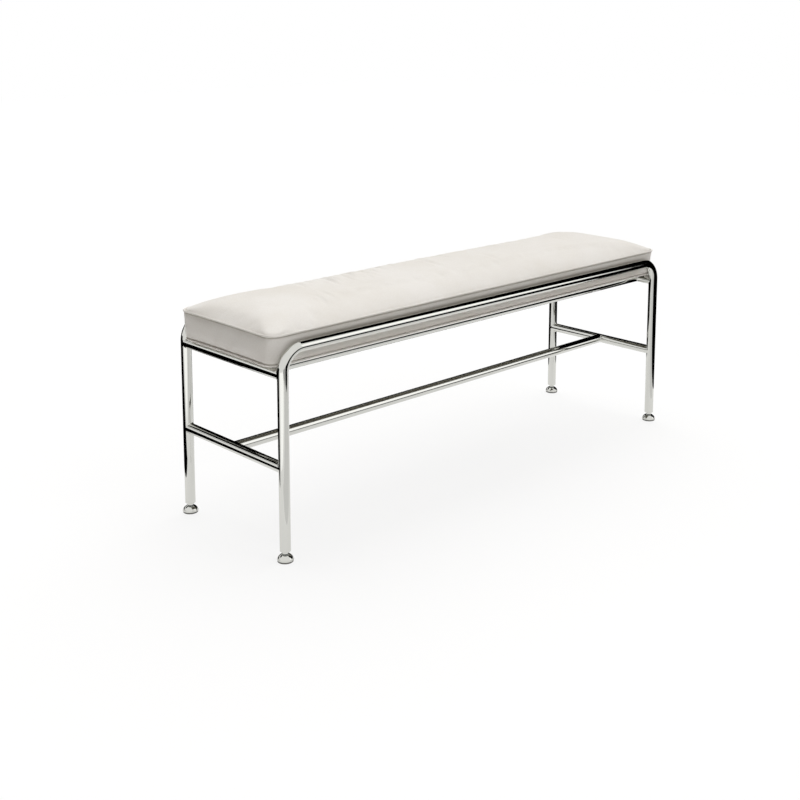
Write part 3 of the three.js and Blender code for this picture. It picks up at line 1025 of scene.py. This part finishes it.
@dataclass
class SeatCushion:
    """The box cushion: a crowned top panel and a border of leather, with a welt round each edge."""

    leather: IvoryLeather
    dust: DustCloth
    half_x: float = 621 * MM
    half_y: float = 153.5 * MM
    corner: float = 26 * MM
    end_pull: float = 3 * MM
    side_pull: float = 1 * MM
    crown_power: float = 3.3
    plumping: float = 6.0 * MM
    corner_growth: float = 0.8
    full_round: float = 0.97
    cell: float = 6 * MM
    edge_cells: tuple[float, ...] = (0.0, 1.0 * MM, 2.2 * MM, 3.8 * MM, 6.2 * MM)
    seam_inset: float = 3.0 * MM
    shoulder: float = 3.4 * MM
    shoulder_width: float = 5.5 * MM
    border_shares: tuple[float, ...] = (
        0.985, 0.965, 0.935, 0.88, 0.8, 0.7, 0.6, 0.5, 0.4, 0.3, 0.2, 0.12, 0.06, 0.025
    )
    under_inset: tuple[float, float] = (6 * MM, 10 * MM)
    fold_start: float = 6 * MM
    welt_waves: tuple[tuple[float, float, float], ...] = ((11.0, 1.0, 0.0), (4.3, 0.6, 1.3), (37.0, 0.8, 0.0))
    rail_pinch: float = 3 * MM
    pinch_end: float = 0.6
    end_tuck: float = 2.4 * MM
    seam_reach: float = 0.03
    # painted shade in the leather's colour: width and darkness of a shadow line beside the top and bottom
    # welts, then darkness of contact shade behind the rails and of fainter shade below them
    seam_shade: float = 2.0 * MM
    seam_shadow_paint: tuple[float, float] = (0.95, 0.6)
    rail_radius: float = 11 * MM
    rail_half: float = 580 * MM
    rail_shadow_paint: float = 0.75
    below_rail_paint: float = 0.3
    border_swell: float = 1.2 * MM
    welt_sides: int = 14
    welt_step: float = 3 * MM
    welt_pucker: float = 0.05
    pressure: float = 4.0
    spare_leather: float = 0.003
    frames: int = 16
    most_move: float = 2.5 * MM
    start_short: float = 0.985

    def __post_init__(self) -> None:
        """Reads the cushion's sizes from the frame."""
        welt_low, welt_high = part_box("top_welt")
        self.welt_radius = (welt_high.z - welt_low.z) / 2 / math.sin(math.radians(60))
        self.top_z = (welt_low.z + welt_high.z) / 2
        bottom_low, bottom_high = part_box("bottom_welt")
        self.bottom_z = (bottom_low.z + bottom_high.z) / 2
        cover_low, cover_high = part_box("cushion_cover")
        self.under_z = cover_low.z
        self.crown = cover_high.z - self.top_z - self.shoulder
        rail_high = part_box("front_side_frame")[1]
        self.rail_z = rail_high.z - self.rail_radius
        self.bottom_inset = (self.end_tuck, (welt_high.y - bottom_high.y))

    def pulled(self, x: Array, y: Array, half_x: float, half_y: float) -> tuple[Array, Array]:
        """Draws the sides in between the corners.

        Args:
            x: places along the cushion.
            y: places across it.
            half_x: half its length there.
            half_y: half its width there.

        Returns:
            The drawn-in places.
        """
        end = self.end_pull / half_x * (1 - (y / half_y) ** 2)
        side = self.side_pull / half_y * (1 - (x / half_x) ** 2)
        return x * (1 - end), y * (1 - side)

    def stations(self, half: float) -> Array:
        """Places from -half to half, close together at the ends and a cell apart between them."""
        edge = np.array(self.edge_cells)
        inner = half - edge[-1] - self.cell
        even = np.linspace(-inner, inner, 2 * round(inner / self.cell) + 1)
        return np.concatenate([edge - half, even, half - edge[::-1]])

    def panel_plan(self) -> tuple[Array, Array]:
        """A grid over the cushion's plan, with its four corner squares bent to quarter discs.

        Returns:
            Places along and across, each as an array of rows along X and columns along Y.
        """
        x, y = np.meshgrid(self.stations(self.half_x), self.stations(self.half_y), indexing="ij")
        p = np.clip((np.abs(x) - self.half_x + self.corner) / self.corner, 0, None)
        q = np.clip((np.abs(y) - self.half_y + self.corner) / self.corner, 0, None)
        both = (p > 0) & (q > 0)
        round_p = p * np.sqrt(1 - q**2 / 2)
        round_q = q * np.sqrt(1 - p**2 / 2)
        x = np.where(both, np.sign(x) * (self.half_x - self.corner + self.corner * round_p), x)
        y = np.where(both, np.sign(y) * (self.half_y - self.corner + self.corner * round_q), y)
        return x, y

    def inset_of(self, x: Array, y: Array) -> Array:
        """How far inside the edge a place lies, on rings whose corners grow rounder inwards.

        Halving finds the ring through the place: a ring at inset i is a rectangle with corners of radius
        min(corner + growth i, round (half width - i)).

        Args:
            x: places along the cushion.
            y: places across it.

        Returns:
            The inset at each place.
        """
        low = np.zeros_like(x)
        high = np.full_like(x, self.half_y)
        for _ in range(28):
            inset = (low + high) / 2
            grown = self.corner + self.corner_growth * inset
            radius = np.minimum(grown, self.full_round * (self.half_y - inset))
            p = np.abs(x) - (self.half_x - inset - radius)
            q = np.abs(y) - (self.half_y - inset - radius)
            outside = np.hypot(np.maximum(p, 0), np.maximum(q, 0)) + np.minimum(np.maximum(p, q), 0)
            inside = outside <= radius
            low = np.where(inside, inset, low)
            high = np.where(inside, high, inset)
        return (low + high) / 2

    def crown_height(self, x: Array, inset: Array) -> Array:
        """Height of the top over its seam: a round shoulder, then a crown, a little fuller at mid length.

        Args:
            x: places along the cushion.
            inset: how far inside the edge they lie.

        Returns:
            The height at each place.
        """
        shoulder = np.sqrt(1 - (1 - np.clip(inset / self.shoulder_width, 0, 1)) ** 2)
        crown = 1 - (1 - np.clip(inset / self.half_y, 0, 1)) ** self.crown_power
        full = self.crown + self.plumping * (1 - np.abs(x / self.half_x) ** 3)
        return self.shoulder * shoulder + full * crown

    def rim(self, grid: Array) -> Array:
        """The points round the edge of a panel grid, in order."""
        return np.concatenate([grid[:-1, 0], grid[-1, :-1], grid[:0:-1, -1], grid[0, :0:-1]])

    def edge_line(self, end_inset: float, side_inset: float) -> tuple[Array, Array]:
        """The cushion's outline at insets from its ends and sides.

        Args:
            end_inset: inset of the two ends.
            side_inset: inset of the two long sides.

        Returns:
            Places along and across, in order round the edge.
        """
        x, y = self.panel_plan()
        rim_x, rim_y = self.rim(x), self.rim(y)
        half_x, half_y = self.half_x - end_inset, self.half_y - side_inset
        return self.pulled(rim_x * half_x / self.half_x, rim_y * half_y / self.half_y, half_x, half_y)

    def border(self) -> Array:
        """The border panel, as rows from the top welt to the bottom welt.

        It is held in by the rails along the sides, tucked in below at the ends, drawn in at both seams and
        swollen a little between them.

        Returns:
            A grid of rows round the edge.
        """
        rows = []
        for share in self.border_shares:
            smooth = np.clip((share - self.pinch_end) / (1 - self.pinch_end), 0, 1)
            smooth = smooth * smooth * (3 - 2 * smooth)
            ends = (share, 1 - share)
            seam = self.seam_inset * sum(math.exp(-end / self.seam_reach) for end in ends)
            swell = self.border_swell * math.sin(math.pi * share)
            end = self.bottom_inset[0] * (1 - share) ** 2 + seam - swell
            side = self.rail_pinch * (1 - smooth) + seam
            x, y = self.edge_line(end, side)
            z = self.bottom_z + share * (self.top_z - self.bottom_z)
            rows.append(np.stack([x, y, np.full_like(x, z)], axis=-1))
        return np.stack(rows)

    def cover(self) -> tuple[Array, list[list[int]], Array]:
        """The whole cover as one closed surface: top panel, border and the leather turned under the board.

        Returns:
            Points, faces and the numbers of the points on the seams and below, which stay put.
        """
        x, y = self.panel_plan()
        squeeze_x, squeeze_y = 1 - self.seam_inset / self.half_x, 1 - self.seam_inset / self.half_y
        top_x, top_y = self.pulled(x * squeeze_x, y * squeeze_y, self.half_x, self.half_y)
        rise = self.crown_height(x, self.inset_of(x, y))
        top = np.stack([top_x, top_y, self.top_z + self.start_short * rise], axis=-1)
        rim_numbers = self.rim(np.arange(x.size).reshape(x.shape))
        shrink = 1 - np.array(self.under_inset) / (self.half_x, self.half_y)
        under = np.stack([top_x * shrink[0], top_y * shrink[1], np.full_like(x, self.under_z)], axis=-1)
        low_x, low_y = self.edge_line(*(inset + self.seam_inset for inset in self.bottom_inset))
        hem = np.stack([low_x, low_y, np.full_like(low_x, self.bottom_z)], axis=-1)
        border = np.concatenate([self.border(), hem[None]])
        count = x.size
        around = len(rim_numbers)
        faces = grid_quads(*x.shape, False, False).tolist()
        levels = [rim_numbers]
        levels += [count + row * around + np.arange(around) for row in range(len(border))]
        levels.append(count + border.shape[0] * around + rim_numbers)
        for above, below in zip(levels, levels[1:]):
            faces += np.stack([above, below, np.roll(below, -1), np.roll(above, -1)], axis=-1).tolist()
        faces += (grid_quads(*x.shape, False, False)[:, ::-1] + levels[-1].min()).tolist()
        points = np.concatenate([top.reshape(-1, 3), border.reshape(-1, 3), under.reshape(-1, 3)])
        hem_start = count + (border.shape[0] - 1) * around
        pinned = np.concatenate([rim_numbers, np.arange(hem_start, len(points))])
        return points, faces, pinned

    def fill(self, piece: bpy.types.Object, pinned: Array) -> None:
        """Fills the cover by a cloth simulation: pressure inside, seams held, and no point moved too far.

        Args:
            piece: the sewn cover.
            pinned: numbers of the points that are held.
        """
        rest = read_points(piece.data)
        seams = piece.vertex_groups.new(name="seams")
        seams.add(pinned.tolist(), 1.0, "REPLACE")
        cloth = piece.modifiers.new("Filling", "CLOTH")
        settings = cloth.settings
        settings.quality = 4
        settings.mass = 0.5
        settings.tension_stiffness = settings.compression_stiffness = 20
        settings.shear_stiffness = 8
        settings.bending_stiffness = 1.5
        settings.use_pressure = True
        settings.uniform_pressure_force = self.pressure
        settings.shrink_min = -self.spare_leather
        settings.vertex_group_mass = seams.name
        settings.effector_weights.gravity = 0
        scene = bpy.context.scene
        for number in range(1, self.frames + 1):
            scene.frame_set(number)
        filled = read_points(piece.evaluated_get(bpy.context.evaluated_depsgraph_get()).data)
        piece.modifiers.remove(cloth)
        piece.vertex_groups.remove(seams)
        scene.frame_set(1)
        move = filled - rest
        distance = np.linalg.norm(move, axis=1, keepdims=True)
        move *= np.minimum(1, self.most_move / np.maximum(distance, MERGE))
        LOG.info("the filling moved the leather by %.1f mm at most", float(distance.max()) / MM)
        write_points(piece.data, rest + move)

    def smooth_once(self, piece: bpy.types.Object) -> None:
        """Applies one level of subdivision to the cover."""
        modifier = piece.modifiers.new("Smooth", "SUBSURF")
        modifier.levels = modifier.render_levels = 1
        apply_modifier(piece, modifier)

    def paint_shade_marks(self, piece: bpy.types.Object) -> None:
        """Paints shade into the leather's colour by a point attribute: a shadow line beside each welt on the
        border, contact shade behind the rails and fainter shade below them.
        """
        points = read_points(piece.data)
        x, y, z = points.T
        shade = np.zeros(len(points))
        lines = (self.top_z - self.welt_radius, self.bottom_z + self.welt_radius)
        for line, dark in zip(lines, self.seam_shadow_paint):
            shade = np.maximum(shade, dark * np.exp(-(((z - line) / self.seam_shade) ** 2)))
        # painted shade on the long sides: contact shade behind the rails, and fainter shade below them
        beside = np.abs(y) > self.half_y - self.rail_radius
        beside = beside * np.clip((self.rail_half - np.abs(x)) / (4 * self.rail_radius), 0, 1)
        behind_rail = np.exp(-(((z - self.rail_z) / self.rail_radius) ** 4))
        shade = np.maximum(shade, self.rail_shadow_paint * beside * behind_rail)
        shade = np.maximum(shade, self.below_rail_paint * beside * (z < self.rail_z) * (z > self.bottom_z))
        mark = piece.data.attributes.new(PAINTED_SHADE, "FLOAT", "POINT")
        mark.data.foreach_set("value", shade.astype(np.float32))

    def fold(self, piece: bpy.types.Object) -> None:
        """Presses the creases into the top of the cover."""
        points = read_points(piece.data)
        above = np.clip((points[:, 2] - self.top_z) / self.fold_start, 0, 1)
        for crease in CREASES:
            points[:, 2] -= above * crease.drop(points[:, 0], points[:, 1])
        write_points(piece.data, points)

    def welt(
        self, name: str, z: float, end_inset: float, side_inset: float, material: bpy.types.Material
    ) -> None:
        """Builds a welt: a covered cord along a seam, gathered a little by its stitches.

        Args:
            name: the welt's CAD node.
            z: its height.
            end_inset: inset of the cushion's ends at the seam.
            side_inset: inset of its sides.
            material: its leather.
        """
        x, y = self.edge_line(end_inset, side_inset)
        line = np.stack([x, y], axis=-1)
        loop = np.concatenate([line, line[:1]])
        run = np.concatenate([[0], np.cumsum(np.linalg.norm(np.diff(loop, axis=0), axis=1))])
        places = np.linspace(0, run[-1], round(run[-1] / self.welt_step), endpoint=False)
        line = np.stack([np.interp(places, run, loop[:, i]) for i in (0, 1)], axis=-1)
        along = np.roll(line, -1, axis=0) - np.roll(line, 1, axis=0)
        along /= np.linalg.norm(along, axis=1, keepdims=True)
        out = np.stack([along[:, 1], -along[:, 0]], axis=-1)
        waves = sum(size * np.sin(places / (length * MM) + start) for length, size, start in self.welt_waves)
        most = sum(size for _, size, _ in self.welt_waves)
        radius = self.welt_radius * (1 + self.welt_pucker * waves / most)
        angle = turn(self.welt_sides)
        offset = radius[:, None] * np.cos(angle)
        grid = np.empty((len(line), self.welt_sides, 3))
        grid[..., :2] = line[:, None, :] + offset[..., None] * out[:, None, :]
        grid[..., 2] = z + radius[:, None] * np.sin(angle)
        piece = MeshBuilder().add(grid, close_rows=True).make(f"{name}_cord", material)
        settle(piece, FRAME_BODY, Slot.LEATHER, name)

    def dust_sheet(self) -> None:
        """Builds the dust cover: a thin sheet, stretched flat under the board."""
        low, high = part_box("dust_cover")
        half_x, half_y = high.x, high.y
        places = np.linspace(-half_x, half_x, 121), np.linspace(-half_y, half_y, 29)
        x, y = np.meshgrid(*places, indexing="ij")
        sheet = np.stack([x, y, np.full_like(x, high.z)], axis=-1)
        piece = MeshBuilder().add(sheet, close_columns=False).make("dust_sheet", self.dust.material())
        wall = piece.modifiers.new("Thickness", "SOLIDIFY")
        wall.thickness = high.z - low.z
        wall.offset = -1
        settle(piece, FRAME_BODY, Slot.DUST, "dust_cover")

    def build(self) -> None:
        """Builds the cushion with its welts and its dust cover, and dresses the board."""
        material = self.leather.material()
        points, faces, pinned = self.cover()
        mesh = bpy.data.meshes.new("cushion")
        mesh.from_pydata(points.tolist(), [], faces)
        face_outwards(mesh, merge=False)
        piece = link("cushion", mesh)
        self.fill(piece, pinned)
        self.smooth_once(piece)
        self.fold(piece)
        self.paint_shade_marks(piece)
        piece.data.shade_smooth()
        piece.data.materials.clear()
        piece.data.materials.append(material)
        settle(piece, FRAME_BODY, Slot.LEATHER, "cushion_cover", "foam_core")
        self.welt("top_welt", self.top_z, 0, 0, material)
        self.welt("bottom_welt", self.bottom_z, *self.bottom_inset, material)
        self.dust_sheet()
        dress("seat_board", BirchPlywood().material())


# Studio


@dataclass(frozen=True)
class Card:
    """A card in the studio that metal reflects: its corners in metres and its glow, 0 for black cloth."""

    name: str
    corners: tuple[tuple[float, float, float], ...]
    glow: float


def on_floor(*corners: tuple[float, float]) -> tuple[tuple[float, float, float], ...]:
    """Corners of a card that lies just over the floor."""
    return tuple((x, y, 2 * MM) for x, y in corners)


@dataclass(frozen=True)
class SoftSun:
    """A wide lamp far away: where it shines from, its strength and the angle that it fills."""

    name: str
    source: tuple[float, float, float]
    strength: float
    angle: float


SUNS = (
    SoftSun("wide_soft_light", (0.38, 0.3, 1.0), 3.3, 75),
    SoftSun("front_fill_light", (0.35, -1.0, 1.1), 0.55, 30),
)

CARDS = (
    Card(
        "black_floor_cloth",
        on_floor(
            (-6, 2.2), (-1.6, 0.35), (-0.92, 0.06), (-0.72, 0.36), (-0.6, 0.42), (0.9, 0.42), (0.86, -0.28),
            (0.68, -0.52), (0.3, -0.8), (-0.2, -1.25), (-0.6, -6), (6, -6), (6, 8), (-6, 8),
        ),
        0.0,
    ),
    Card("black_side_wall", ((6, -4.3, 0), (6, 8, 0), (6, 8, 12), (6, -4.3, 12)), 0.0),
    Card("black_rear_wall", ((6, 8, 0), (-6, 8, 0), (-6, 8, 12), (6, 8, 12)), 0.0),
    Card("black_low_wall", ((-6, 8, 0), (-6, 2.2, 0), (-6, 2.2, 0.6), (-6, 8, 0.6)), 0.0),
    Card("white_side_panel", ((4.0, -6.8, 1.0), (5.9, -4.4, 1.0), (5.9, -4.4, 5.6), (4.0, -6.8, 5.6)), 1.45),
    Card("white_floor_card", on_floor((-1.1, -1.4), (-1.1, -0.1), (-3.0, 0.1), (-3.0, -2.5)), 1.4),
    Card(
        "grey_front_card",
        on_floor((-0.95, -0.35), (0.7, -0.35), (0.68, -0.52), (0.3, -0.8), (-0.2, -1.25), (-0.75, -1.38)),
        0.8,
    ),
    Card("white_rear_strip", ((3, 7.9, 3), (-5.5, 7.9, 3), (-5.5, 7.9, 5.2), (3, 7.9, 5.2)), 1.1),
    Card(
        "grey_floor_card",
        on_floor((-1.3, -1.3), (-0.75, -1.38), (-0.2, -1.25), (-0.6, -6), (-4, -6)),
        0.45,
    ),
)


@dataclass
class Studio:
    """A pale floor, soft lamps, black flags that only metal reflects, and the camera."""

    floor_half: float = 12.0
    floor_white: float = 0.82
    ambient: float = 0.15
    ambient_tint: str = "#fff3e2"
    lens: float = 54.58
    yaw: float = 46.48
    pitch: float = 8.79
    shift_y: float = -0.25
    place: tuple[float, float, float] = (-1.9645, -1.9214, 1.0498)

    def seen_white(self, tree: Tree) -> Socket:
        """A socket that is 1 for camera, glossy and transmission rays."""
        path = add_node(tree, "ShaderNodeLightPath").outputs
        seen = path["Is Camera Ray"]
        for ray in ("Is Glossy Ray", "Is Transmission Ray"):
            either = add_node(tree, "ShaderNodeMath", {"operation": "MAXIMUM"}, {0: seen, 1: path[ray]})
            seen = either.outputs[0]
        return seen

    def build_world(self) -> None:
        """Makes the world: white where it is seen, and a plain soft light on everything else."""
        world = bpy.data.worlds.new("studio")
        bpy.context.scene.world = world
        world.use_nodes = True
        tree = world.node_tree
        tree.nodes.clear()
        white = add_node(tree, "ShaderNodeBackground", inputs={"Color": grey(1.0), "Strength": 1.0})
        inputs = {"Color": linear(self.ambient_tint), "Strength": self.ambient}
        soft = add_node(tree, "ShaderNodeBackground", inputs=inputs)
        both = add_node(
            tree,
            "ShaderNodeMixShader",
            inputs={0: self.seen_white(tree), 1: soft.outputs[0], 2: white.outputs[0]},
        )
        add_node(tree, "ShaderNodeOutputWorld", inputs={"Surface": both.outputs[0]})

    def build_floor(self) -> None:
        """Makes the floor: white where it is seen, with a share left matt so that it keeps the shadow."""
        half = self.floor_half
        corners = [(-half, -half, 0), (half, -half, 0), (half, half, 0), (-half, half, 0)]
        mesh = bpy.data.meshes.new("floor")
        mesh.from_pydata(corners, [], [(0, 1, 2, 3)])
        floor = link("floor", mesh)
        material, tree, _ = start_material("white paper")
        paper = add_node(tree, "ShaderNodeBsdfDiffuse", inputs={"Color": grey(0.85)})
        glow = add_node(tree, "ShaderNodeEmission", inputs={"Color": grey(1.0), "Strength": 1.0})
        share = add_node(
            tree,
            "ShaderNodeMath",
            {"operation": "MULTIPLY"},
            {0: self.seen_white(tree), 1: self.floor_white},
        )
        both = add_node(
            tree,
            "ShaderNodeMixShader",
            inputs={0: share.outputs[0], 1: paper.outputs[0], 2: glow.outputs[0]},
        )
        add_node(tree, "ShaderNodeOutputMaterial", inputs={"Surface": both.outputs[0]})
        mesh.materials.append(material)

    def build_suns(self) -> None:
        """Adds the lights. They are wide, so their shadows are soft. Metal reflects the cards instead."""
        for sun in SUNS:
            data = bpy.data.lights.new(sun.name, "SUN")
            data.energy = sun.strength
            data.angle = math.radians(sun.angle)
            lamp = link(sun.name, data)
            lamp.rotation_euler = Vector(sun.source).to_track_quat("Z", "Y").to_euler()
            lamp.visible_glossy = False

    def build_cards(self) -> None:
        """Adds the cards round the bench. They show only in reflections."""
        for card in CARDS:
            material, tree, _ = start_material(card.name)
            glow = add_node(tree, "ShaderNodeEmission", inputs={"Color": grey(1.0), "Strength": card.glow})
            add_node(tree, "ShaderNodeOutputMaterial", inputs={"Surface": glow.outputs[0]})
            mesh = bpy.data.meshes.new(card.name)
            mesh.from_pydata(card.corners, [], [range(len(card.corners))])
            mesh.materials.append(material)
            piece = link(card.name, mesh)
            piece.visible_camera = piece.visible_diffuse = False
            piece.visible_shadow = piece.visible_transmission = False

    def build_camera(self) -> None:
        """Places the camera at the photograph's viewing angle."""
        data = bpy.data.cameras.new("camera")
        data.sensor_width = 36
        data.lens = self.lens
        data.shift_y = self.shift_y
        camera = link("camera", data)
        camera.location = self.place
        camera.rotation_euler = (math.radians(90 - self.pitch), 0, math.radians(self.yaw - 90))
        bpy.context.scene.camera = camera

    def build(self) -> None:
        """Builds the studio."""
        bpy.context.scene.view_settings.view_transform = "Standard"
        self.build_world()
        self.build_floor()
        self.build_suns()
        self.build_cards()
        self.build_camera()


def write_sizes() -> None:
    """Updates the view layer."""
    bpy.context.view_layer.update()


def main() -> None:
    """Builds the studio and every part of the bench, in order."""
    logging.basicConfig(level=logging.INFO, format="%(name)s: %(message)s")
    Studio().build()
    TubeFrame(ChromePlate("chrome plated tube")).build()
    zinc = ZincPlate()
    ScrewFeet(ChromePlate("chrome plated turned steel"), MouldedNylon(), zinc).build()
    SeatScrews(zinc).build()
    SeatCushion(IvoryLeather(), DustCloth()).build()
    write_sizes()


if __name__ == "__main__":
    main()
